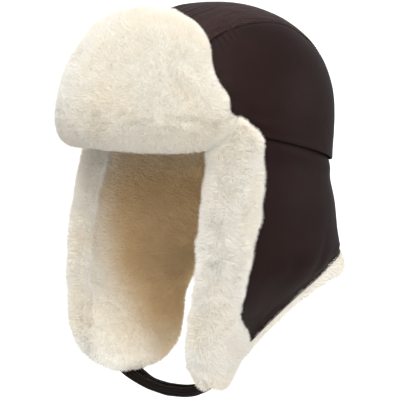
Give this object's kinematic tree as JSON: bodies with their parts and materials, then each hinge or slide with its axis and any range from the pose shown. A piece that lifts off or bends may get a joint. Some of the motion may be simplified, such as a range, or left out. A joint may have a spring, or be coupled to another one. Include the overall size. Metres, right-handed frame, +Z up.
{
  "type": "leather flying cap",
  "caption": "Soft panelled leather cap lined with sheared wool, with a turned-up wool front, ear flaps with turned-out wool edges, a neck skirt and a chin strap.",
  "frame": {"origin": "middle of the head opening at brow level, inside the cap", "axes": "+Z up through the crown, +X to the wearer's left, and the face opening looks along -Y"},
  "size_m": [0.2149, 0.2708, 0.3422],
  "materials": {
    "crown_leather": "soft satin nappa",
    "side_leather": "soft satin nappa",
    "lining_wool": "sheared pile",
    "flap_wool": "sheared pile",
    "strap_leather": "stitched matte leather"
  },
  "bodies": {
    "root": {"crown_top_panel": "crown_leather", "crown_side_left": "side_leather", "crown_side_right": "side_leather", "neck_skirt": "side_leather", "crown_lining": "lining_wool", "skirt_lining": "lining_wool", "front_flap": "flap_wool", "ear_cuff_left": "flap_wool", "ear_cuff_right": "flap_wool", "chin_strap_outer": "strap_leather", "chin_strap_inner": "strap_leather"}
  },
  "joints": []
}
